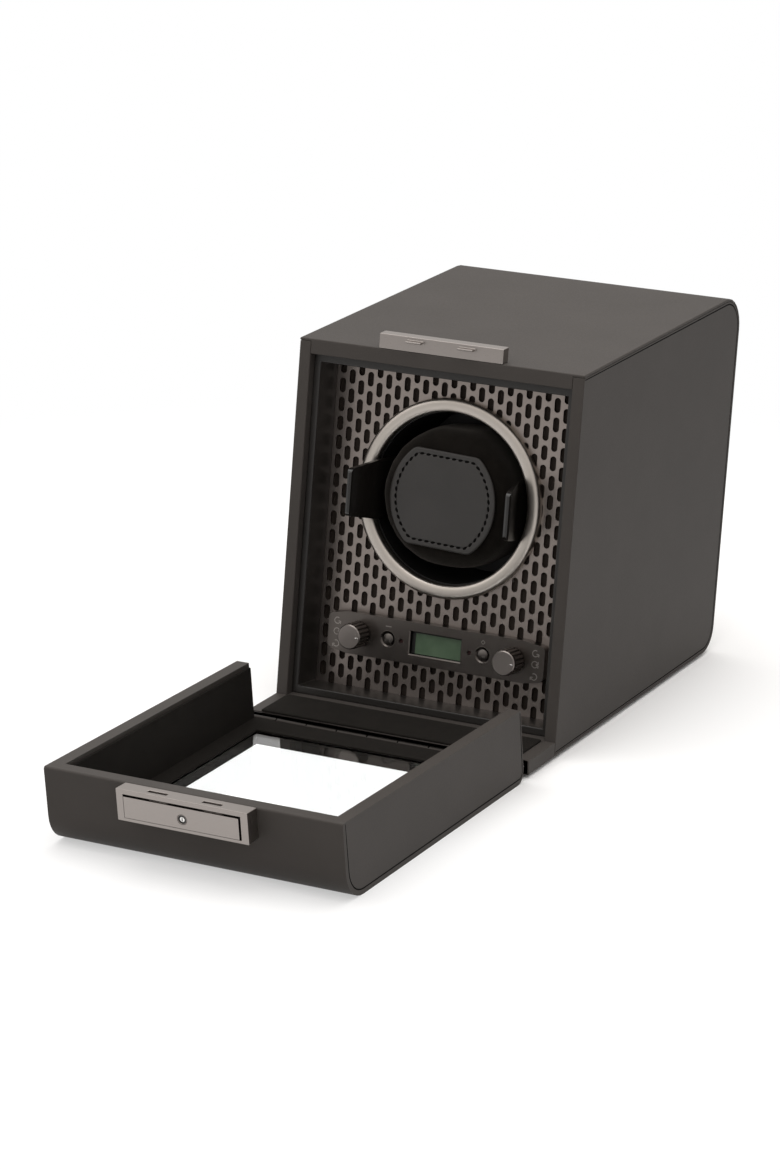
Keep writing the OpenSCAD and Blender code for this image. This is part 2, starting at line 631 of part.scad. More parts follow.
// One wing: a plate from its hinge bosses to the ring, then flared out to a lip
// Seen from the side a wing narrows from the ring to its tip
wing_ring = pin_n - panel_in + ring_h;
wing_sides = [
    [-wing_hs, -boss_r - 1], [wing_hs, -boss_r - 1], [wing_hs, wing_ring],
    [tip_hs, pin_n + wing_out + 0.2], [-tip_hs, pin_n + wing_out + 0.2], [-wing_hs, wing_ring]
];
module wing(s) color(black_plastic) at_drum(pin_n) mirrored(s) difference() {
    intersection() {
        union() {
        for (t = [-1, 1]) translate([pin_x, t * (wing_hs + 5) / 2, 0]) rotate([90, 0, 0])
            cylinder(r = boss_r, h = wing_hs - 5, center = true);
        rotate([90, 0, 0]) linear_extrude(2 * wing_hs, center = true) polygon([
            [wing_inner, boss_r + 0.6], [wing_x, boss_r + 0.6], [wing_x, pin_n - panel_in + ring_h + 2],
            [tip_x, pin_n + wing_out - 1.5], [tip_x - 0.4, pin_n + wing_out - 0.3], [tip_x - lip_t / 2, pin_n + wing_out],
            [tip_x - lip_t + 0.3, pin_n + wing_out - 0.4], [tip_x - lip_t + 0.2, pin_n + wing_out - 2],
            [wing_inner, pin_n - panel_in + ring_h + 2]
        ]);
        for (t = [-1, 1]) translate([pin_x + 0.6, t * (wing_hs + 5) / 2, boss_r / 2 + 0.5])
            cube([2 * (wing_x - pin_x) - 1.2, wing_hs - 5, boss_r + 2], center = true);
        }
        across(4 * tip_x) polygon(rounded(wing_sides, [0, 0, 6, 4, 4, 6], 6));
    }
    translate([pin_x, 0, 0]) rotate([90, 0, 0]) cylinder(r = pin_r + run_fit, h = 60, center = true);
}
module wing_left() wing(-1);
module wing_right() wing(1);

// ================= hinge
knuckle_l = hinge_w / knuckles;
pin_hinge_r = 1;
end_gap = lid_low - hinge_z;
module at_hinge() translate([0, hinge_y, hinge_z]) children();
module knuckle_row(odd) for (i = [0:knuckles - 1]) if (i % 2 == odd)
    translate([-hinge_w / 2 + (i + 0.5) * knuckle_l, 0, 0]) children();
module knuckle(sunk) across(knuckle_l - 2 * slide_gap) difference() {
    union() {
        circle(r = hinge_r);
        children();
    }
    circle(r = pin_hinge_r + (sunk ? 0 : run_fit));
}
module case_hinge_leaf() color(gunmetal) {
    at_hinge() knuckle_row(0) knuckle(true)
        translate([0, -0.8]) square([hinge_r + barrel_gap + leaf_t / 2, 1.6]);
    difference() {
        translate([-hinge_w / 2, -tongue_l, foot_h + 0.6]) cube([hinge_w, leaf_t, base_top - foot_h - 0.8]);
        for (x = leaf_screw_x) translate([x, -tongue_l - 1, leaf_screw_z]) rotate([-90, 0, 0]) cylinder(r = leaf_screw_r, h = 5);
    }
}
module hinge_pin() color(steel) at_hinge() across(hinge_w - 0.4) circle(r = pin_hinge_r);
module case_hinge_screws() color(steel) for (x = leaf_screw_x)
    translate([x, -tongue_l + leaf_t, leaf_screw_z]) rotate([90, 0, 0]) cylinder(r = leaf_screw_r, h = leaf_t);

// ================= lid, drawn closed
lid_corners = [
    [lid_face_y(lid_low), lid_low], [rim_y(lid_low), lid_low],
    [rim_y(case_h), case_h], [lid_face_y(case_h), case_h]
];
lid_side_corners = inset(lid_corners, [0, 0, seam_in, seam_in]);
lid_inner = inset(lid_corners, [-mouth, -mouth, lid_end_t, lid_plate_t]);
lid_inner_x = case_w / 2 - lid_side_t;
suede_t = 1.1;
suede_low = (lid_plate_t + suede_t) * tan(lid_lean) + pad_t;
lid_liner_t = 1.5;
lid_liner_in = 1.8;
glass_grip = 3.5;

// x across, y up the closed lid from its hinge end, z out of its face
module on_lid(depth = 0) translate([0, lid_face_y(lid_low), lid_low]) rotate([90 - lid_lean, 0, 0])
    translate([0, 0, -depth]) children();
module window_hole(grow, depth, t) on_lid(depth + t)
    translate([-case_w / 2 + window_margin - grow, window_margin - grow, 0])
    cube([case_w - 2 * window_margin + 2 * grow, lid_len - 2 * window_margin + 2 * grow, t]);

leaf_out = 3;
leaf_in = 1.5;
leaf_screw_out = leaf_out - leaf_screw_r - 0.35;
module leaf_seat() across(hinge_w + seat_gap) polygon([
    [hinge_y - leaf_out, lid_low - 1], [hinge_y + leaf_in, lid_low - 1],
    [hinge_y + leaf_in, lid_low + leaf_t], [hinge_y - leaf_out, lid_low + leaf_t]
]);
module lid_frame() color(leather) open_lid() difference() {
    across(case_w) polygon(rounded(lid_corners, [lid_low_r, 0, 0, lid_top_r]));
    across(2 * lid_inner_x) polygon(lid_inner);
    for (s = [-1, 1]) translate([s * (case_w - lid_side_t) / 2, 0, 0]) across(lid_side_t)
        polygon(rounded(lid_side_corners, [lid_low_r - seam_in, 0, 0, lid_top_r - seam_in]));
    window_hole(0, -1, lid_plate_t + 2);
    window_hole(glass_grip, lid_plate_t - glass_t, glass_t + 1);
    leaf_seat();
}
module lid_side(s) color(leather) open_lid() difference() {
    translate([s * (case_w - lid_side_t) / 2, 0, 0]) across(lid_side_t)
        polygon(rounded(lid_side_corners, [lid_low_r - seam_in, 0, 0, lid_top_r - seam_in]));
    leaf_seat();
}
module lid_side_left() lid_side(-1);
module lid_side_right() lid_side(1);
liner_zone = inset(lid_corners, [pad_t, lid_liner_in, lid_end_t, lid_plate_t]);
liner_hole = inset(lid_corners, [-mouth, -mouth, lid_end_t + lid_liner_t, -mouth]);
module lid_liner() color(leather) open_lid() difference() {
    across(2 * lid_inner_x) polygon(liner_zone);
    across(2 * (lid_inner_x - lid_liner_t)) polygon(liner_hole);
}
module lid_glass() color([0.75, 0.85, 0.85, 0.35]) open_lid()
    window_hole(glass_grip - seat_gap, lid_plate_t - glass_t, glass_t);
module lid_glass_frame() color(suede) open_lid() on_lid(lid_plate_t + suede_t) difference() {
    translate([-lid_inner_x + lid_liner_t, suede_low, 0])
        cube([2 * (lid_inner_x - lid_liner_t), lid_len - lid_end_t - lid_liner_t - 0.7 - suede_low, suede_t]);
    translate([-case_w / 2 + window_margin, window_margin, -1])
        cube([case_w - 2 * window_margin, lid_len - 2 * window_margin, suede_t + 2]);
}
module lid_hinge_leaf() color(gunmetal) open_lid() {
    at_hinge() knuckle_row(1) knuckle(false) translate([-0.8, 0]) square([1.6, end_gap + leaf_t / 2]);
    difference() {
        translate([-hinge_w / 2, hinge_y - leaf_out, lid_low]) cube([hinge_w, leaf_out + leaf_in, leaf_t]);
        for (x = leaf_screw_x) translate([x, hinge_y - leaf_screw_out, lid_low - 1]) cylinder(r = leaf_screw_r, h = 5);
    }
}
module lid_hinge_screws() color(steel) open_lid() for (x = leaf_screw_x)
    translate([x, hinge_y - leaf_screw_out, lid_low]) cylinder(r = leaf_screw_r, h = leaf_t);

// ================= latch on the lid, catch on the case
latch_skin = 1;
push_gap = 1.2;
push_end_gap = 1;
push_fit = 0.15;
push_w = latch_w - 7;
push_l = latch_l - 3.3 - push_gap;
push_t = 1.6;
slot_z = 4.8;
hook_t = 1.1;
hook_out = 2.8;
lock_r = 2.4;
hook_slot = hook_t + 1.1;
slot_drop = 0.25;
latch_y = rim_y(case_h);
latch_corners = [
    [latch_y - latch_l, case_h], [latch_y, case_h], [rim_y(case_h + latch_h), case_h + latch_h],
    [latch_y - latch_l + 0.6, case_h + latch_h]
];
push_top = case_h + latch_h;
push_y = latch_y - latch_l + 2.25 + push_l / 2;

module latch_housing() color(gunmetal) open_lid() difference() {
    across(latch_w) polygon(latch_corners);
    across(latch_w - 2 * latch_skin) polygon(inset(latch_corners, [latch_skin, latch_skin, push_t + 1.8, latch_skin]));
    translate([-push_w / 2 - push_fit, push_y - push_l / 2 - push_fit, push_top - push_t - 2.4])
        cube([push_w + 2 * push_fit, push_l + push_fit + push_gap, push_t + 5]);
    for (s = [-1, 1]) translate([s * hook_x - (hook_w + 1.4) / 2, latch_y - 3, case_h + slot_z - slot_drop - hook_slot / 2])
        cube([hook_w + 1.4, 6, hook_slot]);
}
module latch_springs() color(steel) open_lid() for (x = [-push_w / 3, push_w / 3])
    translate([x, push_y - 2, case_h + latch_skin]) tube(1.6, 1, latch_h - latch_skin - push_t - push_travel - 0.2);
module latch_push_bar() color(gunmetal) open_lid() difference() {
    translate([-push_w / 2, push_y - push_l / 2, push_top - push_t]) cube([push_w - push_end_gap, push_l, push_t]);
    translate([0, push_y - 0.6, push_top - push_t - 1]) cylinder(r = lock_r + run_fit, h = push_t + 2);
}
module lock_cylinder() color(steel) open_lid() translate([0, push_y - 0.6, push_top - push_t]) difference() {
    cylinder(r = lock_r, h = push_t);
    translate([-0.35, -1.3, push_t - 0.9]) cube([0.7, 2.6, 2]);
}
module catch_bar() color(gunmetal) union() {
    across(latch_w - 0.5) polygon([
        [front_y(case_h), case_h], [front_y(case_h) + catch_d, case_h],
        [front_y(case_h + catch_h) + catch_d, case_h + catch_h], [front_y(case_h + catch_h), case_h + catch_h]]);
    for (s = [-1, 1]) translate([s * hook_x, front_y(case_h + slot_z), case_h + slot_z])
        across(hook_w) polygon([
            [1, -hook_t / 2], [1, hook_t / 2], [-hook_out, hook_t / 2], [-hook_out, -hook_t / 2 + 0.4],
            [-hook_out + 0.9, -hook_t / 2]]);
}

// ================= build
placed() case_wrap();
placed() side_panel_left();
placed() side_panel_right();
placed() tongue_pad();
placed() feet();
placed() inner_liner();
placed() perforated_panel();
placed() backing_board();
placed() panel_screws();
placed() bezel_ring();
placed() drum_housing();
placed() drum_bearing();
placed() motor_bracket();
placed() bracket_screws();
placed() gear_motor();
placed() power_jack();
placed() catch_bar();
placed() case_hinge_leaf();
placed() hinge_pin();
placed() case_hinge_screws();
placed() control_plate();
placed() control_tray();
placed() circuit_board();
placed() lcd_display();
placed() lcd_window();
placed() status_leds();
placed() rotary_switches();
placed() button_switches();
placed() drum_cup();
placed() drum_shaft();
placed() drum_gear();
placed() motor_pinion();
placed() cuff_base();
placed() cuff_core();
placed() cuff_cushion();
placed() cuff_patch();
placed() wing_pins();
placed() wing_left();
placed() wing_right();
placed() knob_left();
placed() knob_right();
placed() knob_shaft_left();
placed() knob_shaft_right();
placed() button_left();
placed() button_right();
placed() lid_frame();
placed() lid_side_left();
placed() lid_side_right();
placed() lid_liner();
placed() lid_glass();
placed() lid_glass_frame();
placed() lid_hinge_leaf();
placed() lid_hinge_screws();
placed() latch_housing();
placed() latch_springs();
placed() latch_push_bar();
placed() lock_cylinder();
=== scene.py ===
"""The looks of the watch winder box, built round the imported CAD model."""

import json
import math

import bmesh
import bpy
from mathutils import Matrix, Vector


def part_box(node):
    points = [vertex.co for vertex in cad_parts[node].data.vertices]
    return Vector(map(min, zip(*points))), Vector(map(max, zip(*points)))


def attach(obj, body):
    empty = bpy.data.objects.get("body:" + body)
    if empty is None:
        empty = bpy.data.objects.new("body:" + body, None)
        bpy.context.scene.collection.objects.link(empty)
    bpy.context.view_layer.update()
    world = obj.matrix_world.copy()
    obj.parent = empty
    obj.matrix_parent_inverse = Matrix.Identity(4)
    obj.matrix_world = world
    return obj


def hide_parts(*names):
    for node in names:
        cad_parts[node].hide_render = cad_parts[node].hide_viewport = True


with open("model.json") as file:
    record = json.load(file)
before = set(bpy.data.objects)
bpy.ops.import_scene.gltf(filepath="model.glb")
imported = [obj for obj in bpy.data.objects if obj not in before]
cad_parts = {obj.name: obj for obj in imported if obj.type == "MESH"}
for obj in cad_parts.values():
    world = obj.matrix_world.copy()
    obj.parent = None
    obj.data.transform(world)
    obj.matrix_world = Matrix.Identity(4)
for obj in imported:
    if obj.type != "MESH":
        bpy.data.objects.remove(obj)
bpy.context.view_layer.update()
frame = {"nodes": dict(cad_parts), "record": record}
nodes = frame["nodes"]
joints = {j["name"]: j for j in frame["record"]["behaviour"]["joints"]}
MM = 0.001

# ---------------------------------------------------------------- places
RIM_TO_DRUM = 70 * MM  # the drum joint lies this far behind the front rim
RIGHT = Vector((1, 0, 0))
OUT = Vector(joints["drum"]["axis"]).normalized()
UP = Vector((0, OUT.z, -OUT.y))
DRUM = Vector(joints["drum"]["pos_m"]) + OUT * RIM_TO_DRUM
PANEL_OUT = -22.0
PLATE_OUT = -17.0


def front(x, s, out):
    """A point in mm from the drum's middle on the rim plane: right, up the slope, out of the front."""
    return DRUM + (RIGHT * x + UP * s + OUT * out) * MM


# ---------------------------------------------------------------- materials
def shader(name, color, rough, metal=0.0, spec=0.5, **sockets):
    """A material whose uniform numbers sit on the Principled shader's own sockets."""
    m = bpy.data.materials.new(name)
    m.use_nodes = True
    b = m.node_tree.nodes["Principled BSDF"]
    b.inputs["Base Color"].default_value = (*color, 1)
    b.inputs["Roughness"].default_value = rough
    b.inputs["Metallic"].default_value = metal
    b.inputs["Specular IOR Level"].default_value = spec
    for key, value in sockets.items():
        b.inputs[key.replace("_", " ")].default_value = value
    return m


def add(m, kind, **inputs):
    n = m.node_tree.nodes.new(kind)
    for key, value in inputs.items():
        n.inputs[key.replace("_", " ")].default_value = value
    return n


def link(m, a, b):
    m.node_tree.links.new(a, b)


def place(m, stretch=(1, 1, 1), turn=(0, 0, 0)):
    """Coordinates in millimetres of the row frame, stretched for brushed or woven patterns."""
    c = add(m, "ShaderNodeTexCoord")
    p = add(m, "ShaderNodeMapping")
    p.inputs["Scale"].default_value = [v / MM for v in stretch]
    p.inputs["Rotation"].default_value = turn
    link(m, c.outputs["Object"], p.inputs["Vector"])
    return p.outputs["Vector"]


def noise_tex(m, where, scale, detail=3.0, rough=0.5):
    n = add(m, "ShaderNodeTexNoise", Scale=scale, Detail=detail, Roughness=rough)
    link(m, where, n.inputs["Vector"])
    return n.outputs["Fac"]


def ramp(m, fac, stops):
    """fac through a colour ramp; stops are (position, grey or colour)."""
    r = add(m, "ShaderNodeValToRGB")
    e = r.color_ramp.elements
    while len(e) < len(stops):
        e.new(0.5)
    for slot, (at, c) in zip(e, stops):
        slot.position = at
        slot.color = (*c, 1) if isinstance(c, tuple) else (c, c, c, 1)
    link(m, fac, r.inputs["Fac"])
    return r.outputs["Color"]


def bump(m, height, depth_mm, strength=1.0, after=None):
    b = add(m, "ShaderNodeBump", Strength=strength, Distance=depth_mm * MM)
    link(m, height, b.inputs["Height"])
    if after:
        link(m, after, b.inputs["Normal"])
    return b.outputs["Normal"]


def bsdf(m):
    return m.node_tree.nodes["Principled BSDF"]


def leather(name, dark, light, rough=(0.40, 0.52), grain=1.0, depth=0.05, spec=0.4):
    """Fine grained leather: small pebbles, softer waves under them, and slow changes of tone."""
    m = shader(name, light, rough[0], spec=spec)
    at = place(m)
    v = add(m, "ShaderNodeTexVoronoi", Scale=1.5 / grain)
    v.feature = "SMOOTH_F1"
    link(m, at, v.inputs["Vector"])
    fine = noise_tex(m, at, 2.6 / grain, 4)
    broad = noise_tex(m, at, 0.035, 3)
    link(m, ramp(m, broad, [(0.3, dark), (0.7, light)]), bsdf(m).inputs["Base Color"])
    link(m, ramp(m, fine, [(0.3, rough[0]), (0.7, rough[1])]), bsdf(m).inputs["Roughness"])
    n = bump(m, v.outputs["Distance"], depth, 0.5)
    link(m, bump(m, fine, depth * 0.6, 0.5, n), bsdf(m).inputs["Normal"])
    return m


def suede(name, dark, light, sheen=0.35):
    """Short napped suede: a matt ground, mottled where the nap lies over, with a soft sheen."""
    m = shader(name, light, 0.95, spec=0.08, Sheen_Weight=sheen, Sheen_Roughness=0.5)
    bsdf(m).inputs["Sheen Tint"].default_value = (0.6, 0.55, 0.5, 1)
    at = place(m)
    nap = noise_tex(m, at, 3.5, 5, 0.7)
    patch = noise_tex(m, at, 0.12, 4, 0.6)
    link(m, ramp(m, patch, [(0.35, dark), (0.65, light)]), bsdf(m).inputs["Base Color"])
    link(m, bump(m, nap, 0.16, 0.8), bsdf(m).inputs["Normal"])
    return m


def brushed(name, color, rough, stretch, metal=1.0, depth=0.01, spread=0.08, **sockets):
    """Metal with fine brush lines along one direction; stretch is long across the lines."""
    m = shader(name, color, rough, metal, **sockets)
    at = place(m, stretch)
    lines = noise_tex(m, at, 1.0, 6, 0.75)
    shine = ramp(m, lines, [(0.25, rough - spread), (0.75, rough + spread)])
    link(m, shine, bsdf(m).inputs["Roughness"])
    link(m, bump(m, lines, depth, 0.6), bsdf(m).inputs["Normal"])
    return m


def moulded(name, color, rough, spec=0.5, depth=0.02, metal=0.0, **sockets):
    """Moulded plastic with a faint texture."""
    m = shader(name, color, rough, metal, spec, **sockets)
    at = place(m)
    n = noise_tex(m, at, 2.0, 4)
    shine = ramp(m, n, [(0.3, max(rough - 0.05, 0.02)), (0.7, rough + 0.05)])
    link(m, shine, bsdf(m).inputs["Roughness"])
    link(m, bump(m, n, depth, 0.3), bsdf(m).inputs["Normal"])
    return m


def satin(name, color, rough, spread=0.02, metal=1.0, **sockets):
    """Smooth satin metal or lacquer: only its roughness drifts slowly over the surface."""
    m = shader(name, color, rough, metal, **sockets)
    n = noise_tex(m, place(m), 0.15, 2)
    link(m, ramp(m, n, [(0.3, rough - spread), (0.7, rough + spread)]), bsdf(m).inputs["Roughness"])
    return m


LEATHER = leather(
    "case_leather", (0.0492, 0.0434, 0.0394), (0.0545, 0.0481, 0.0437), (0.46, 0.58), spec=0.14
)
LEATHER_IN = leather(
    "lining_leather", (0.0135, 0.0118, 0.0104), (0.0180, 0.0158, 0.0140), (0.34, 0.42), 0.8, 0.02
)
LEATHER_PATCH = leather(
    "patch_leather", (0.024, 0.022, 0.020), (0.031, 0.028, 0.026), (0.38, 0.48), 0.9, 0.04
)
SUEDE = suede("suede", (0.0038, 0.0031, 0.0025), (0.0056, 0.0046, 0.0037), 0.08)
SUEDE_CUFF = suede("cuff_suede", (0.0056, 0.0045, 0.0035), (0.0088, 0.0072, 0.0058), 0.16)
PANEL = brushed("panel_metal", (0.27, 0.235, 0.215), 0.38, (0.4, 8, 8))
RING = satin("ring_metal", (0.47, 0.430, 0.390), 0.36)
LATCH = brushed("latch_metal", (0.30, 0.272, 0.255), 0.32, (0.25, 9, 9), depth=0.006)
PLATE = satin("plate_metal", (0.105, 0.093, 0.085), 0.30)
KNOB = satin("knob_metal", (0.215, 0.193, 0.180), 0.34)
BUTTON = satin("button_metal", (0.115, 0.104, 0.096), 0.42)
STEEL = moulded("steel", (0.55, 0.545, 0.53), 0.30, metal=1.0)
CHROME = satin("chrome", (0.72, 0.71, 0.69), 0.12)
BRASS = moulded("brass", (0.60, 0.45, 0.22), 0.30, metal=1.0)
HINGE = satin("hinge_metal", (0.028, 0.025, 0.023), 0.36)
BLACK = moulded("black_plastic", (0.0085, 0.0080, 0.0075), 0.45)
GLOSS = satin("gloss_black", (0.0085, 0.0074, 0.0065), 0.24, metal=0.0)
WHITE = moulded("white_plastic", (0.62, 0.60, 0.55), 0.45)
BOARD = moulded("dark_board", (0.016, 0.011, 0.008), 0.8, spec=0.2, depth=0.1)
PCB = moulded("circuit_green", (0.015, 0.08, 0.04), 0.4)
RUBBER = moulded("rubber", (0.012, 0.012, 0.012), 0.7)
LAMP = moulded("lamp_red", (0.035, 0.006, 0.006), 0.2, Coat_Weight=0.6)
# Dark thread for the patch's stitches; the same material also draws the dark strips along the side
# seams, which are painted shade of the seams' groove.
THREAD_AND_SEAM_SHADE = moulded("thread", (0.0016, 0.0014, 0.0012), 0.85, spec=0.06, depth=0.1)
ICON = satin("icon_metal", (0.30, 0.275, 0.255), 0.35)


def make_glass():
    m = shader("clear_glass", (0.96, 0.975, 0.97), 0.0, IOR=1.5, Transmission_Weight=1.0)
    haze = noise_tex(m, place(m), 0.05, 3)
    link(m, ramp(m, haze, [(0.3, 0.0), (0.8, 0.02)]), bsdf(m).inputs["Roughness"])
    return m


def make_display():
    """A reflective liquid crystal: grey-green with a slowly drifting tone, and faint even pixels."""
    m = shader("display", (0.07, 0.115, 0.068), 0.30, Coat_Weight=0.5, Coat_Roughness=0.05)
    at = place(m)
    grid = add(m, "ShaderNodeTexVoronoi", Scale=2.2)
    link(m, at, grid.inputs["Vector"])
    tone = noise_tex(m, at, 0.15, 2)
    tint = ramp(m, tone, [(0.3, (0.062, 0.104, 0.060)), (0.7, (0.082, 0.130, 0.078))])
    link(m, tint, bsdf(m).inputs["Base Color"])
    link(m, bump(m, grid.outputs["Distance"], 0.01, 0.2), bsdf(m).inputs["Normal"])
    return m


GLASS = make_glass()
DISPLAY = make_display()


# ---------------------------------------------------------------- mesh tools
def dress(obj, material):
    obj.data.materials.clear()
    obj.data.materials.append(material)


def new_piece(name, bm, material, body, smooth=35, replaces=()):
    """Turns a bmesh into a piece that rides on a body, shaded smooth below the angle smooth."""
    mesh = bpy.data.meshes.new(name)
    bmesh.ops.recalc_face_normals(bm, faces=bm.faces)
    for f in bm.faces:
        f.smooth = True
    for e in bm.edges:
        if len(e.link_faces) == 2:
            e.smooth = e.calc_face_angle(0) < math.radians(smooth)
    bm.to_mesh(mesh)
    bm.free()
    o = bpy.data.objects.new(name, mesh)
    bpy.context.scene.collection.objects.link(o)
    dress(o, material)
    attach(o, body)
    if replaces:
        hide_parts(*replaces)
    return o


def cad_bmesh(node):
    """The CAD node's mesh, welded, with its flat faces made whole again."""
    bm = bmesh.new()
    bm.from_mesh(nodes[node].data)
    bmesh.ops.remove_doubles(bm, verts=bm.verts, dist=3e-6)
    bmesh.ops.dissolve_limit(bm, angle_limit=math.radians(1.5), verts=bm.verts, edges=bm.edges)
    return bm


def soften(bm, width_mm, segments=3, sharper=30, pick=None):
    """Bevels the edges sharper than an angle, and only those that pick lets through."""
    chosen = [
        e for e in bm.edges
        if len(e.link_faces) == 2
        and e.calc_face_angle(0) > math.radians(sharper)
        and (pick is None or pick(e))
    ]
    bmesh.ops.bevel(
        bm, geom=chosen, offset=width_mm * MM, segments=segments, profile=0.5,
        affect="EDGES", clamp_overlap=True, harden_normals=False,
    )
    return bm


def softened(node, width_mm, material, body, segments=3, sharper=30, pick=None, smooth=35):
    """A copy of a CAD node with its edges rounded, standing for that node."""
    bm = soften(cad_bmesh(node), width_mm, segments, sharper, pick)
    piece = new_piece(node + "_soft", bm, material, body, smooth, (node,))
    even = piece.modifiers.new("even_shading", "WEIGHTED_NORMAL")
    even.keep_sharp = True
    return piece


# ---------------------------------------------------------------- camera
CAMERA_AT = Vector((867.7, -1687.6, 680.8)) * MM
AZIMUTH, ELEVATION, ROLL = (math.radians(v) for v in (28.03, 17.27, 0.173))
FOCAL_PX, CENTRE_PX, IMAGE_PX = 4341.6, (349.16, 550.76), (780, 1170)


def make_camera():
    forward = Vector((
        -math.sin(AZIMUTH) * math.cos(ELEVATION),
        math.cos(AZIMUTH) * math.cos(ELEVATION),
        -math.sin(ELEVATION),
    ))
    right = Vector((math.cos(AZIMUTH), math.sin(AZIMUTH), 0))
    up = right.cross(forward)
    turned = right * math.cos(ROLL) + up * math.sin(ROLL)
    up = up * math.cos(ROLL) - right * math.sin(ROLL)
    data = bpy.data.cameras.new("camera")
    data.sensor_width = 36
    data.lens = FOCAL_PX / IMAGE_PX[1] * 36
    data.shift_x = (IMAGE_PX[0] / 2 - CENTRE_PX[0]) / IMAGE_PX[1]
    data.shift_y = (CENTRE_PX[1] - IMAGE_PX[1] / 2) / IMAGE_PX[1]
    data.clip_end = 20
    cam = bpy.data.objects.new("camera", data)
    facing = Matrix((turned, up, -forward)).transposed().to_4x4()
    cam.matrix_world = Matrix.Translation(CAMERA_AT) @ facing
    bpy.context.scene.collection.objects.link(cam)
    bpy.context.scene.camera = cam


make_camera()


# ---------------------------------------------------------------- leather case and lid
def long_enough(mm):
    return lambda e: e.calc_length() > mm * MM


def out_of(v):
    """How far a vertex stands out of the rim plane, in mm."""
    return (v.co - DRUM).dot(OUT) / MM


softened("case_wrap", 0.8, LEATHER, "case", pick=long_enough(1.6))
for side in ("left", "right"):
    softened(f"side_panel_{side}", 0.5, LEATHER, "case", pick=long_enough(1.2))
    softened(f"lid_side_{side}", 0.5, LEATHER, "lid", pick=long_enough(0.6))


def make_lid_frame():
    """The lid's wrap: its rim is turned over the board with a fuller edge than its other corners."""
    bm = cad_bmesh("lid_frame")
    high = max(v.co.z for v in bm.verts)

    def rim(e):
        a, b = (v.co for v in e.verts)
        return abs(a.x - b.x) > 100 * MM and min(a.z, b.z) > high - 3 * MM and min(a.y, b.y) < -150 * MM

    soften(bm, 1.6, 5, 30, rim)
    soften(bm, 0.6, 3, 30, lambda e: e.calc_length() > 1.3 * MM)
    piece = new_piece("lid_frame_soft", bm, LEATHER, "lid", 35, ("lid_frame",))
    piece.modifiers.new("even_shading", "WEIGHTED_NORMAL").keep_sharp = True


SEAM_INSET, SEAM_HALF, SEAM_DEPTH, SEAM_PROUD = 1.3, 0.32, 0.5, 0.03


def on_the_front(p, q):
    """True for an outline piece of the case's side that lies along the sloped front."""
    return all(abs((v - DRUM).dot(OUT)) < 1.5 * MM for v in (p, q))


def on_the_rim(p, q):
    """True for the long outline piece along the open lid's rim."""
    return min(p.z, q.z) > 12 * MM and max(p.z, q.z) > 30 * MM and abs(p.y - q.y) > 60 * MM


def make_seam_shade(node, body, sign, skip):
    """A dark strip just inside a side panel's outline, painted shade standing in for the seam's groove;
    skip leaves out the open edge.
    """
    bm = cad_bmesh(node)
    face = max(
        (f for f in bm.faces if f.normal.x * sign > 0.9 and abs(f.calc_center_median().x) > 70 * MM),
        key=lambda f: f.calc_area(),
    )
    loop = [v.co.copy() for v in face.verts]
    bm.free()
    middle = sum(loop, Vector()) / len(loop)
    x = loop[0].x + sign * SEAM_PROUD * MM
    seam = bmesh.new()
    count = len(loop)
    outline = []
    for i, p in enumerate(loop):
        before, after = (p - loop[i - 1]).normalized(), (loop[(i + 1) % count] - p).normalized()
        along = (before + after).normalized()
        aside = along.cross(Vector((1, 0, 0)))
        if aside.dot(p - middle) < 0:
            aside = -aside
        outline.append((p - aside * SEAM_INSET * MM, aside))
    for i in range(count):
        (p, n), (q, m) = outline[i], outline[(i + 1) % count]
        if skip(p, q):
            continue
        corners = []
        for where, aside in ((p, n), (q, m)):
            for off, sink in ((-SEAM_HALF, 0.0), (SEAM_HALF, 0.0), (0.0, -SEAM_DEPTH)):
                v = where + aside * off * MM
                corners.append(seam.verts.new((x + sign * sink * MM, v.y, v.z)))
        a, b = corners[:3], corners[3:]
        for k in range(3):
            seam.faces.new((a[k], a[(k + 1) % 3], b[(k + 1) % 3], b[k]))
        seam.faces.new(a[::-1])
        seam.faces.new(b)
    new_piece(f"seam_{node}", seam, THREAD_AND_SEAM_SHADE, body, 60)


make_lid_frame()
softened("inner_liner", 1.5, LEATHER_IN, "case", segments=5)
softened("lid_liner", 0.5, SUEDE, "lid", segments=5)
# The dark strips along each side panel's seam are painted shade of the groove there.
for side, sign in (("left", -1), ("right", 1)):
    make_seam_shade(f"side_panel_{side}", "case", sign, on_the_front)
    make_seam_shade(f"lid_side_{side}", "lid", sign, on_the_rim)

# ---------------------------------------------------------------- metal
softened("catch_bar", 0.3, LATCH, "case")
BAR = [Vector(v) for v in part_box("latch_push_bar")]


def off_the_bar(e):
    """True for edges of the latch that lie clear of the push bar's own pocket."""
    inside = [
        all(BAR[0][k] - 1.45 * MM < v.co[k] < BAR[1][k] + 1.45 * MM for k in range(3)) for v in e.verts
    ]
    return not all(inside) and e.calc_length() > 1.5 * MM


softened("latch_housing", 0.3, LATCH, "lid", pick=off_the_bar)
softened("latch_push_bar", 0.06, LATCH, "push_bar", segments=1, pick=long_enough(2))


def make_plate():
    """The control plate: a wide chamfer round the display window, and softened outer edges."""
    at = Vector(front(0, -69.8, -17))

    def window_edge(e):
        return e.calc_length() > 5 * MM and all(
            abs((v.co - at).dot(RIGHT)) < 14 * MM and abs((v.co - at).dot(OUT)) < 0.1 * MM
            for v in e.verts
        )

    bm = soften(cad_bmesh("control_plate"), 0.45, 1, 30, window_edge)
    soften(bm, 0.35, 3, 50, lambda e: e.calc_length() > 0.6 * MM and not any(
        abs((v.co - at).dot(RIGHT)) < 14.5 * MM and abs((v.co - at).dot(UP)) < 6.5 * MM for v in e.verts
    ))
    piece = new_piece("control_plate_soft", bm, PLATE, "case", 35, ("control_plate",))
    piece.modifiers.new("even_shading", "WEIGHTED_NORMAL").keep_sharp = True


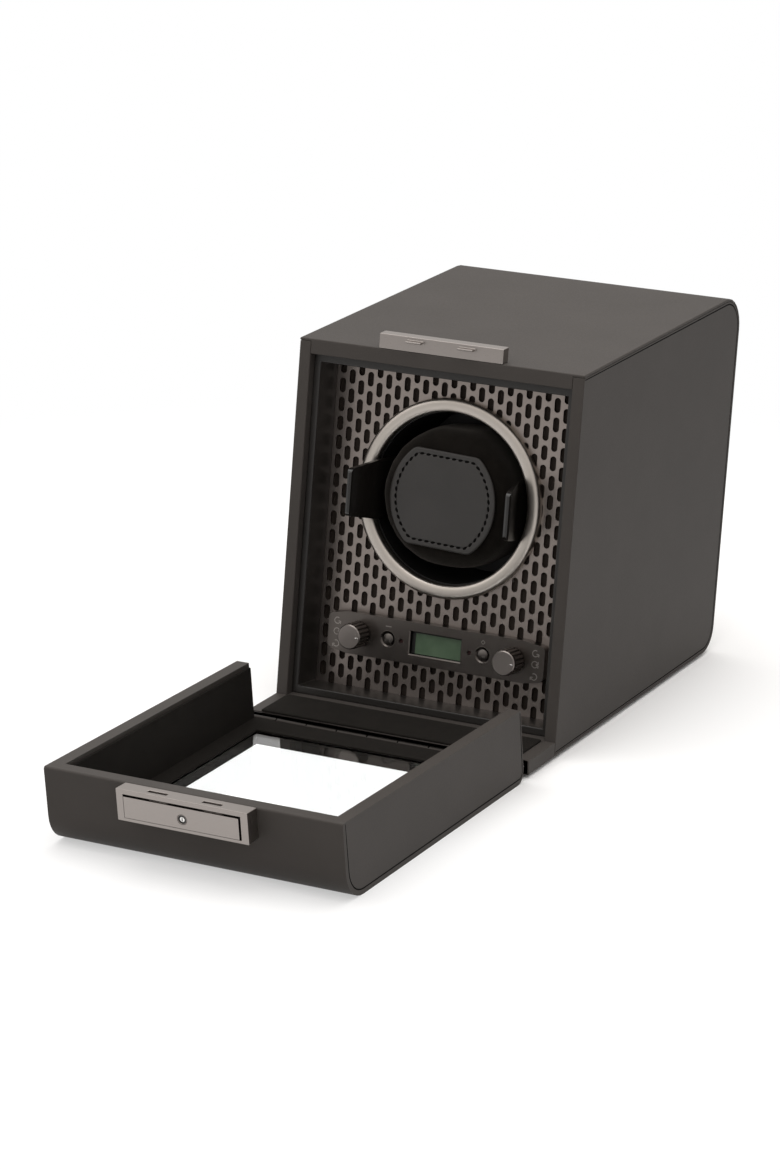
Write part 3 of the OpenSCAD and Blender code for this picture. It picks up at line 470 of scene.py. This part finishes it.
make_plate()
softened(
    "perforated_panel", 0.16, PANEL, "case", segments=2, sharper=60,
    pick=lambda e: all(out_of(v) > PANEL_OUT - 0.1 for v in e.verts),
)
softened("feet", 0.4, RUBBER, "case")
softened("power_jack", 0.3, GLOSS, "case", sharper=60)
softened("wing_left", 0.45, GLOSS, "wing_left")
softened("wing_right", 0.45, GLOSS, "wing_right")
for side in ("left", "right"):
    softened(f"button_{side}", 0.2, BUTTON, f"button_{side}", sharper=40)


# ---------------------------------------------------------------- shapes built from rings of points
def lofted(rings, close_start=True, close_end=True):
    """A bmesh skinned through rings of points that all have the same count."""
    bm = bmesh.new()
    loops = [[bm.verts.new(p) for p in ring] for ring in rings]
    count = len(loops[0])
    for a, b in zip(loops, loops[1:]):
        for i in range(count):
            k = (i + 1) % count
            bm.faces.new((a[i], a[k], b[k], b[i]))
    if close_start:
        bm.faces.new(loops[0][::-1])
    if close_end:
        bm.faces.new(loops[-1])
    return bm


def make_knob(side):
    """A fluted knob with a flat face, a turned edge and a small pointer, seated as the CAD knob is."""
    joint = joints[f"knob_{side}"]
    base = Vector(joint["pos_m"]) + OUT * 0.3 * MM
    length, radius, flutes, steps = 10.0, 6.15, 18, 8

    def ring(height, r, deep):
        points = []
        for i in range(flutes * steps):
            angle = math.tau * i / (flutes * steps)
            dent = max(0.0, math.cos(math.tau * i / steps)) ** 0.8
            reach = r - deep * dent
            at = RIGHT * math.cos(angle) * reach + UP * math.sin(angle) * reach + OUT * height
            points.append(base + at * MM)
        return points

    rings = [
        ring(0, 5.7, 0.5), ring(0.35, radius, 0.95), ring(length - 1.6, radius, 0.95),
        ring(length - 1.1, radius - 0.1, 0.75), ring(length - 0.75, radius - 0.25, 0.3),
        ring(length - 0.45, 5.85, 0.02), ring(length - 0.05, 5.47, 0), ring(length, 5.4, 0),
        ring(length, 5.2, 0), ring(length, 3, 0), ring(length, 0.5, 0),
    ]
    new_piece(
        f"knob_{side}_turned", lofted(rings), KNOB, f"knob_{side}", 32, (f"knob_{side}",)
    )
    bm = bmesh.new()
    made = bmesh.ops.create_cube(bm, size=1)["verts"]
    for v in made:
        v.co = base + (
            RIGHT * (4.3 + v.co.x * 1.5) + UP * v.co.y * 0.5 + OUT * (length - 0.05 + v.co.z * 0.4)
        ) * MM
    soften(bm, 0.12, 2)
    new_piece(f"knob_{side}_pointer", bm, CHROME, f"knob_{side}")


make_knob("left")
make_knob("right")


def turned_ring(name, middle, axis, profile, material, body, replaces=(), steps=64, smooth=50):
    """A ring turned about an axis from a closed outline of (radius, height) points in mm."""
    side = axis.orthogonal().normalized()
    other = axis.cross(side)
    bm = bmesh.new()
    loops = [
        [
            bm.verts.new(middle + ((side * math.cos(a) + other * math.sin(a)) * r + axis * h) * MM)
            for r, h in profile
        ]
        for a in (math.tau * i / steps for i in range(steps))
    ]
    for i, loop in enumerate(loops):
        after = loops[(i + 1) % steps]
        for k in range(len(profile)):
            n = (k + 1) % len(profile)
            bm.faces.new((loop[k], after[k], after[n], loop[n]))
    return new_piece(name, bm, material, body, smooth, replaces)


def make_bezel():
    """The satin ring, domed across its width."""
    dome = [(40.6, 0)]
    for i in range(25):
        a = math.radians(180 - 180 * i / 24)
        wide = math.copysign(abs(math.cos(a)) ** 0.8, math.cos(a))
        dome.append((43.9 + 3.3 * wide, 1.5 + 2.5 * abs(math.sin(a)) ** 0.8))
    dome.append((47.2, 0))
    turned_ring(
        "bezel_ring_turned", front(0, 0, PANEL_OUT), OUT, dome, RING, "case",
        ("bezel_ring",), 128,
    )


make_bezel()
for side, x in (("left", -24.7), ("right", 24.7)):
    turned_ring(
        f"button_rim_{side}", front(x, -69.8, -17), OUT,
        [(3.72, -0.05), (3.72, 0.06), (3.8, 0.13), (3.95, 0.15), (4.08, 0.1), (4.12, -0.05)],
        PLATE, "case",
    )


def make_lock():
    """The lock's satin ring round a chrome core, with its dark, recessed keyhole."""
    joint = joints["lock_cylinder"]
    axis = -Vector(joint["axis"]).normalized()
    across = RIGHT.cross(axis)
    base = Vector(joint["pos_m"])

    def turned(name, profile, material, slot, replaces=()):
        rings = [
            [
                base + (RIGHT * math.cos(a) * r + across * math.sin(a) * r + axis * h) * MM
                for a in (math.tau * i / 40 for i in range(40))
            ]
            for r, h in profile
        ]
        return new_piece(name, lofted(rings), material, "lock", 40, replaces)

    turned(
        "lock_ring",
        [(2.35, -1.55), (2.35, -0.1), (2.28, 0), (2.05, 0), (1.95, -0.12), (1.9, -0.5), (0.2, -0.55)],
        KNOB, "steel", ("lock_cylinder",),
    )
    turned("lock_gap", [(1.88, -0.6), (1.88, -0.42), (1.8, -0.4), (0.1, -0.4)], BLACK, "black_plastic")
    turned("lock_core", [(1.15, -0.45), (1.15, -0.2), (1.05, -0.12), (0.1, -0.1)], CHROME, "steel")
    bm = bmesh.new()
    for v in bmesh.ops.create_cube(bm, size=1)["verts"]:
        at = RIGHT * v.co.x * 0.45 + across * v.co.y * 1.5 + axis * (-0.12 + v.co.z * 0.12)
        v.co = base + at * MM
    new_piece("lock_keyhole", bm, BLACK, "lock")


make_lock()


# ---------------------------------------------------------------- the watch cushion
CUSHION_BACK, CUSHION_FRONT = -57.0, -14.05
CUSHION_R, CUSHION_HS = 34.1, 32.3


def rounded_box_ring(t, power, count):
    """One ring of a rounded drum shape: t runs from -90 degrees at the back to 90 at the front."""
    middle, half = (CUSHION_FRONT + CUSHION_BACK) / 2, (CUSHION_FRONT - CUSHION_BACK) / 2
    points = []
    for i in range(count):
        a = math.tau * i / count
        squarer = power + 5 * math.cos(a) ** 2
        flat = abs(math.cos(t)) ** (2 / squarer)
        deep = math.copysign(abs(math.sin(t)) ** (2 / squarer), t)
        x = math.cos(a) * CUSHION_R * flat
        s = math.sin(a) * CUSHION_R * flat
        points.append(front(x, s, middle + deep * (half - 0.4)))
    return points


def held_in(co):
    """Keeps a point of the cushion inside the room that its neighbours leave."""
    at = co - DRUM
    x, s, out = at.dot(RIGHT) / MM, at.dot(UP) / MM, at.dot(OUT) / MM
    reach = math.hypot(x, s)
    if reach > CUSHION_R:
        x, s = x * CUSHION_R / reach, s * CUSHION_R / reach
    s = max(-CUSHION_HS, min(CUSHION_HS, s))
    return front(x, s, max(CUSHION_BACK, min(CUSHION_FRONT, out)))


def applied(obj):
    """Bakes an object's modifiers into its mesh."""
    graph = bpy.context.evaluated_depsgraph_get()
    mesh = bpy.data.meshes.new_from_object(obj.evaluated_get(graph))
    obj.modifiers.clear()
    old = obj.data
    obj.data = mesh
    bpy.data.meshes.remove(old)


def make_cushion():
    rings = [rounded_box_ring(math.radians(-88 + 176 * i / 28), 4.2, 64) for i in range(29)]
    cushion = new_piece(
        "cuff_cushion_soft", lofted(rings), SUEDE_CUFF, "cuff", 180, ("cuff_cushion", "cuff_core")
    )
    remesh = cushion.modifiers.new("remesh", "REMESH")
    remesh.mode = "VOXEL"
    remesh.voxel_size = 4.2 * MM
    applied(cushion)
    start = [v.co.copy() for v in cushion.data.vertices]
    cloth = cushion.modifiers.new("cloth", "CLOTH")
    cloth.settings.use_pressure = True
    cloth.settings.uniform_pressure_force = 4
    cloth.settings.effector_weights.gravity = 0
    scene = bpy.context.scene
    for frame_number in range(1, 21):
        scene.frame_set(frame_number)
    graph = bpy.context.evaluated_depsgraph_get()
    moved = [v.co.copy() for v in cushion.evaluated_get(graph).data.vertices]
    cushion.modifiers.clear()
    scene.frame_set(1)
    for v, a, b in zip(cushion.data.vertices, start, moved):
        step = b - a
        limit = 1.6 * MM
        v.co = a + (step if step.length < limit else step.normalized() * limit)
    for v in cushion.data.vertices:
        v.co = held_in(v.co)
    smooth = cushion.modifiers.new("smooth", "SUBSURF")
    smooth.levels = smooth.render_levels = 1
    applied(cushion)
    for v in cushion.data.vertices:
        v.co = held_in(v.co)
    for face in cushion.data.polygons:
        face.use_smooth = True
    dress(cushion, SUEDE_CUFF)
    return cushion


cushion = make_cushion()


def make_patch():
    """The stitched leather patch, laid on the cushion's front, with its edge groove and its thread."""
    hw, hs, top_hw, tilt = 27.3, 22.95, 16.4, math.radians(-2.3)
    bulge = (hs ** 2 + (hw - top_hw) ** 2) / (2 * (hw - top_hw))
    side_angle = math.asin(hs / bulge)
    outline = []
    for k in (1, -1):
        for i in range(25):
            a = (-side_angle + 2 * side_angle * i / 24) * k
            outline.append(Vector((k * (hw - bulge) + math.cos(a) * bulge * k, math.sin(a) * bulge)))
        if k > 0:
            outline += [Vector((top_hw - 2 * top_hw * i / 14, hs)) for i in range(1, 14)]
    outline += [Vector((-top_hw + 2 * top_hw * i / 14, -hs)) for i in range(1, 14)]

    lengths = [(outline[(i + 1) % len(outline)] - outline[i]).length for i in range(len(outline))]
    even, pieces = [], 168
    for k in range(pieces):
        where, i = sum(lengths) * k / pieces, 0
        while where > lengths[i]:
            where -= lengths[i]
            i += 1
        even.append(outline[i].lerp(outline[(i + 1) % len(outline)], where / lengths[i]))
    for _ in range(2):
        even = [
            sum((even[(i + d) % pieces] for d in range(-1, 2)), Vector((0, 0))) / 3
            for i in range(pieces)
        ]
    outline = even
    count = len(outline)

    def ring(inside, out):
        shape = []
        for p in outline:
            q = p * (1 - inside / 25)
            x = q.x * math.cos(tilt) - q.y * math.sin(tilt)
            s = q.x * math.sin(tilt) + q.y * math.cos(tilt)
            shape.append(front(x, s, out))
        return shape

    top = -12.72
    rings = [
        ring(0.45, -14.0), ring(0.1, -13.75), ring(0, -13.4), ring(0.12, -13.05), ring(0.45, top - 0.1),
        ring(0.9, top), ring(2.3, top - 0.02), ring(2.65, top - 0.12), ring(2.95, top - 0.38),
        ring(3.25, top - 0.12),
        ring(3.6, top - 0.02), ring(5, top), ring(12, top), ring(20, top),
    ]
    patch = new_piece(
        "cuff_patch_sewn", lofted(rings), LEATHER_PATCH, "cuff", 60, ("cuff_patch",)
    )
    patch.modifiers.new("even_shading", "WEIGHTED_NORMAL").keep_sharp = True

    seam = [(p - DRUM) for p in ring(2.95, top - 0.22)]
    path = [DRUM + p for p in seam]
    lengths = [(path[(i + 1) % count] - path[i]).length / MM for i in range(count)]
    total = sum(lengths)
    pitch = total / round(total / 3.3)
    bm = bmesh.new()
    for k in range(round(total / pitch)):
        where, i = k * pitch, 0
        while where > lengths[i]:
            where -= lengths[i]
            i += 1
        a, b = path[i], path[(i + 1) % count]
        along = (b - a).normalized()
        middle = a + along * where * MM
        beside = OUT.cross(along)
        made = bmesh.ops.create_uvsphere(bm, u_segments=8, v_segments=6, radius=1)["verts"]
        lean = math.radians(18)
        long = along * math.cos(lean) + beside * math.sin(lean)
        wide = beside * math.cos(lean) - along * math.sin(lean)
        for v in made:
            x, y, z = v.co
            v.co = middle + (long * x * 1.3 + wide * y * 0.8 + OUT * z * 0.32) * MM
    new_piece("cuff_stitches", bm, THREAD_AND_SEAM_SHADE, "cuff", 60)


make_patch()


# ---------------------------------------------------------------- suede pads
def walk(x0, y0, x1, y1, r, count=10, per_side=8):
    """Points round a rectangle with corners of radius r, evenly many on each side."""
    points = []
    corners = [(x1 - r, y0 + r, -90), (x1 - r, y1 - r, 0), (x0 + r, y1 - r, 90), (x0 + r, y0 + r, 180)]
    for k, (cx, cy, a0) in enumerate(corners):
        turns = [math.radians(a0 + 90 * i / count) for i in range(count + 1)]
        arc = [Vector((cx + r * math.cos(a), cy + r * math.sin(a))) for a in turns]
        points += arc
        nx, ny, na = corners[(k + 1) % 4]
        nxt = Vector((nx + r * math.cos(math.radians(na)), ny + r * math.sin(math.radians(na))))
        points += [arc[-1].lerp(nxt, i / per_side) for i in range(1, per_side)]
    return points


def make_tongue_pad():
    """The suede pad on the case's tongue, crowned from its edge to its middle."""
    lo, hi = (Vector(v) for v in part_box("tongue_pad"))
    hx, hy, thick = (hi.x - lo.x) / 2 / MM, (hi.y - lo.y) / 2 / MM, (hi.z - lo.z) / MM
    base = Vector(((lo.x + hi.x) / 2, (lo.y + hi.y) / 2, lo.z))
    outer = walk(-hx, -hy, hx, hy, 1.5)
    rings = []
    crown = [
        (0, 0.02), (0, 0.4), (0.15, 0.62), (0.45, 0.74), (1.2, 0.8),
        (3, 0.84), (6, 0.88), (9, 0.9), (11.5, 0.9),
    ]
    for inside, height in crown:
        ring = []
        for p in outer:
            q = Vector([math.copysign(max(abs(c) - inside, 0.05), c) for c in p])
            ring.append(base + Vector((q.x, q.y, height * thick / 0.9)) * MM)
        rings.append(ring)
    pad = new_piece("tongue_pad_soft", lofted(rings), SUEDE, "case", 60, ("tongue_pad",))


make_tongue_pad()
softened("lid_glass_frame", 0.7, SUEDE, "lid", segments=5)


# ---------------------------------------------------------------- direction marks on the control plate
def strip(bm, points, width, lift):
    """A thin raised line through points given as (x, s) in mm."""
    for a, b in zip(points, points[1:]):
        a, b = Vector(a), Vector(b)
        side = Vector((-(b - a).y, (b - a).x)).normalized() * width / 2
        corners = (a - side, b - side, b + side, a + side)
        low = [bm.verts.new(front(p.x, p.y, PLATE_OUT)) for p in corners]
        high = [bm.verts.new(front(p.x, p.y, PLATE_OUT + lift)) for p in corners]
        bm.faces.new(high)
        for i in range(4):
            k = (i + 1) % 4
            bm.faces.new((low[i], low[k], high[k], high[i]))


def arc_mark(bm, x, s, start, end, heads):
    """An open ring with an arrow head at one or both ends."""
    r, steps = 1.5, 14
    pts = [
        (x + r * math.cos(math.radians(start + (end - start) * i / steps)),
         s + r * math.sin(math.radians(start + (end - start) * i / steps)))
        for i in range(steps + 1)
    ]
    strip(bm, pts, 0.42, 0.1)
    for tip, before in heads:
        a, b = Vector(pts[tip]), Vector(pts[before])
        d = (a - b).normalized()
        n = Vector((-d.y, d.x))
        strip(bm, [a - d * 0.2 + n * 0.85, a + d * 0.65], 0.4, 0.11)
        strip(bm, [a - d * 0.2 - n * 0.85, a + d * 0.65], 0.4, 0.11)


def make_marks():
    bm = bmesh.new()
    for x in (-51.8, 51.8):
        arc_mark(bm, x, MARK_S[0], 60, 330, [(-1, -3)])
        arc_mark(bm, x, MARK_S[1], 30, 330, [(-1, -3), (0, 2)])
        arc_mark(bm, x, MARK_S[2], 120, -150, [(-1, -3)])
    strip(bm, [(-26.2, PLATE_S + 6), (-23.2, PLATE_S + 6)], 0.5, 0.06)
    d = 1.0
    cx, cs = 24.7, PLATE_S + 6
    strip(bm, [(cx - d, cs), (cx, cs + d), (cx + d, cs), (cx, cs - d), (cx - d, cs)], 0.3, 0.06)
    new_piece("plate_marks", bm, ICON, "case")


def make_window_dark_bars():
    """Dark bars that show inside the display window: a wide one at the left, thin ones along the top and
    the right.
    """
    out, hw, hs = -19.55, 13.1, 5.15
    bm = bmesh.new()
    bars = ((-hw, -hw + 1.7, -hs, hs), (-hw + 1.7, hw, hs - 0.5, hs), (hw - 0.4, hw, -hs, hs - 0.5))
    for x0, x1, s0, s1 in bars:
        corners = [(x0, s0), (x1, s0), (x1, s1), (x0, s1)]
        low = [bm.verts.new(front(x, PLATE_S + t, out)) for x, t in corners]
        high = [bm.verts.new(front(x, PLATE_S + t, out + 0.05)) for x, t in corners]
        bm.faces.new(high)
        bm.faces.new(low[::-1])
        for i in range(4):
            k = (i + 1) % 4
            bm.faces.new((low[i], low[k], high[k], high[i]))
    new_piece("display_window_dark_bars", bm, BLACK, "case")


PLATE_S = -69.8
make_window_dark_bars()
MARK_S = (PLATE_S + 4.9, PLATE_S - 0.3, PLATE_S - 6.1)
make_marks()

# ---------------------------------------------------------------- what stays as the CAD has it
for node, material in {
    "backing_board": BOARD, "panel_screws": STEEL, "drum_housing": BLACK,
    "drum_bearing": BRASS, "motor_bracket": STEEL, "bracket_screws": STEEL, "gear_motor": STEEL,
    "case_hinge_leaf": HINGE, "lid_hinge_leaf": HINGE, "hinge_pin": STEEL,
    "case_hinge_screws": STEEL, "lid_hinge_screws": STEEL, "control_tray": BLACK, "circuit_board": PCB,
    "lcd_display": BLACK, "lcd_window": DISPLAY, "status_leds": LAMP, "rotary_switches": STEEL,
    "button_switches": BLACK, "drum_cup": BLACK, "drum_shaft": STEEL, "drum_gear": WHITE,
    "motor_pinion": BRASS, "cuff_base": BLACK, "wing_pins": STEEL,
    "knob_shaft_left": STEEL, "knob_shaft_right": STEEL, "lid_glass": GLASS, "latch_springs": STEEL,
}.items():
    dress(nodes[node], material)


# ---------------------------------------------------------------- studio
def math_node(m, kind, a, b, clamp=False):
    n = m.node_tree.nodes.new("ShaderNodeMath")
    n.operation = kind
    n.use_clamp = clamp
    for slot, value in zip(n.inputs, (a, b)):
        if isinstance(value, (int, float)):
            slot.default_value = value
        else:
            link(m, value, slot)
    return n.outputs[0]


def make_floor():
    """White paper: it takes the shadow near the object and glows evenly white farther off."""
    bm = bmesh.new()
    bmesh.ops.create_grid(bm, x_segments=8, y_segments=8, size=6)
    mesh = bpy.data.meshes.new("floor")
    bm.to_mesh(mesh)
    bm.free()
    floor = bpy.data.objects.new("floor", mesh)
    bpy.context.scene.collection.objects.link(floor)
    m = bpy.data.materials.new("floor")
    m.use_nodes = True
    t = m.node_tree
    t.nodes.clear()
    out = t.nodes.new("ShaderNodeOutputMaterial")
    diffuse = add(m, "ShaderNodeBsdfDiffuse")
    glow = add(m, "ShaderNodeEmission")
    mix = t.nodes.new("ShaderNodeMixShader")
    path = t.nodes.new("ShaderNodeLightPath")
    bounce = math_node(m, "MULTIPLY", path.outputs["Is Diffuse Ray"], 0.50)
    link(m, math_node(m, "SUBTRACT", 0.95, bounce), diffuse.inputs["Color"])
    through = math_node(m, "MULTIPLY", path.outputs["Is Transmission Ray"], 0.45)
    link(m, math_node(m, "ADD", through, 1.0), glow.inputs["Strength"])
    where = add(m, "ShaderNodeTexCoord")
    split = t.nodes.new("ShaderNodeSeparateXYZ")
    link(m, where.outputs["Object"], split.inputs[0])
    beside = []
    for axis, middle, half in (("X", 0.0, 0.073), ("Y", 0.095, 0.113)):
        off = math_node(m, "ABSOLUTE", math_node(m, "SUBTRACT", split.outputs[axis], middle), 0)
        beside.append(math_node(m, "MAXIMUM", math_node(m, "SUBTRACT", off, half), 0.0))
    squares = [math_node(m, "MULTIPLY", b, b) for b in beside]
    away = math_node(m, "SQRT", math_node(m, "ADD", squares[0], squares[1]), 0)
    close = t.nodes.new("ShaderNodeMapRange")
    for key, value in {"From Min": 0.004, "From Max": 0.10, "To Min": 0.0, "To Max": FLOOR_GLOW}.items():
        close.inputs[key].default_value = value
    link(m, away, close.inputs["Value"])
    reach = t.nodes.new("ShaderNodeVectorMath")
    reach.operation = "LENGTH"
    link(m, where.outputs["Object"], reach.inputs[0])
    spread = t.nodes.new("ShaderNodeMapRange")
    spread.interpolation_type = "SMOOTHSTEP"
    for key, value in {"From Min": 0.25, "From Max": 0.60, "To Min": 0.0, "To Max": 1.0}.items():
        spread.inputs[key].default_value = value
    link(m, reach.outputs["Value"], spread.inputs["Value"])
    seen = math_node(m, "MAXIMUM", path.outputs["Is Camera Ray"], path.outputs["Is Glossy Ray"])
    share = math_node(m, "MULTIPLY", seen, math_node(m, "MAXIMUM", spread.outputs[0], close.outputs[0]))
    share = math_node(m, "MAXIMUM", share, path.outputs["Is Transmission Ray"])
    link(m, share, mix.inputs["Fac"])
    link(m, diffuse.outputs[0], mix.inputs[1])
    link(m, glow.outputs[0], mix.inputs[2])
    link(m, mix.outputs[0], out.inputs["Surface"])
    dress(floor, m)


def make_world():
    """Even white for the camera, and for everything else brighter from above than from the sides."""
    w = bpy.data.worlds.new("studio")
    bpy.context.scene.world = w
    w.use_nodes = True
    t = w.node_tree
    t.nodes.clear()
    out = t.nodes.new("ShaderNodeOutputWorld")
    soft = t.nodes.new("ShaderNodeBackground")
    soft.inputs["Color"].default_value = (1.0, 0.975, 0.95, 1)
    white = t.nodes.new("ShaderNodeBackground")
    white.inputs["Color"].default_value = (1, 1, 1, 1)
    white.inputs["Strength"].default_value = 1.0
    where = t.nodes.new("ShaderNodeTexCoord")
    split = t.nodes.new("ShaderNodeSeparateXYZ")
    t.links.new(where.outputs["Generated"], split.inputs[0])
    shade = t.nodes.new("ShaderNodeMapRange")
    for key, value in {"From Min": 0.0, "From Max": 1.0, "To Min": SKY_LOW, "To Max": SKY_HIGH}.items():
        shade.inputs[key].default_value = value
    t.links.new(split.outputs["Z"], shade.inputs["Value"])
    aside = t.nodes.new("ShaderNodeMapRange")
    for key, value in {"From Min": 0.0, "From Max": 1.0, "To Min": 1.0, "To Max": SKY_RIGHT}.items():
        aside.inputs[key].default_value = value
    t.links.new(split.outputs["X"], aside.inputs["Value"])
    both = t.nodes.new("ShaderNodeMath")
    both.operation = "MULTIPLY"
    t.links.new(shade.outputs[0], both.inputs[0])
    t.links.new(aside.outputs[0], both.inputs[1])
    t.links.new(both.outputs[0], soft.inputs["Strength"])
    path = t.nodes.new("ShaderNodeLightPath")
    seen = t.nodes.new("ShaderNodeMath")
    seen.operation = "MAXIMUM"
    mix = t.nodes.new("ShaderNodeMixShader")
    t.links.new(path.outputs["Is Camera Ray"], seen.inputs[0])
    t.links.new(path.outputs["Is Transmission Ray"], seen.inputs[1])
    t.links.new(seen.outputs[0], mix.inputs["Fac"])
    t.links.new(soft.outputs[0], mix.inputs[1])
    t.links.new(white.outputs[0], mix.inputs[2])
    t.links.new(mix.outputs[0], out.inputs["Surface"])


def lamp(name, at, look, size, power):
    data = bpy.data.lights.new(name, "AREA")
    data.shape = "RECTANGLE"
    data.size, data.size_y = size
    data.energy = power
    o = bpy.data.objects.new(name, data)
    o.location = at
    o.rotation_euler = (Vector(look) - Vector(at)).to_track_quat("-Z", "Y").to_euler()
    bpy.context.scene.collection.objects.link(o)


FLOOR_GLOW = 0.47
SKY_LOW, SKY_HIGH = 0.62, 1.33
SKY_RIGHT = 0.80
make_floor()
make_world()
lamp("top_light", (-0.1, 0.1, 1.6), (0, 0, 0), (1.6, 1.4), 12)
lamp("left_light", (-1.5, -0.9, 0.9), (0, 0, 0.08), (1.0, 1.2), 3)
bpy.context.scene.view_settings.view_transform = "Standard"
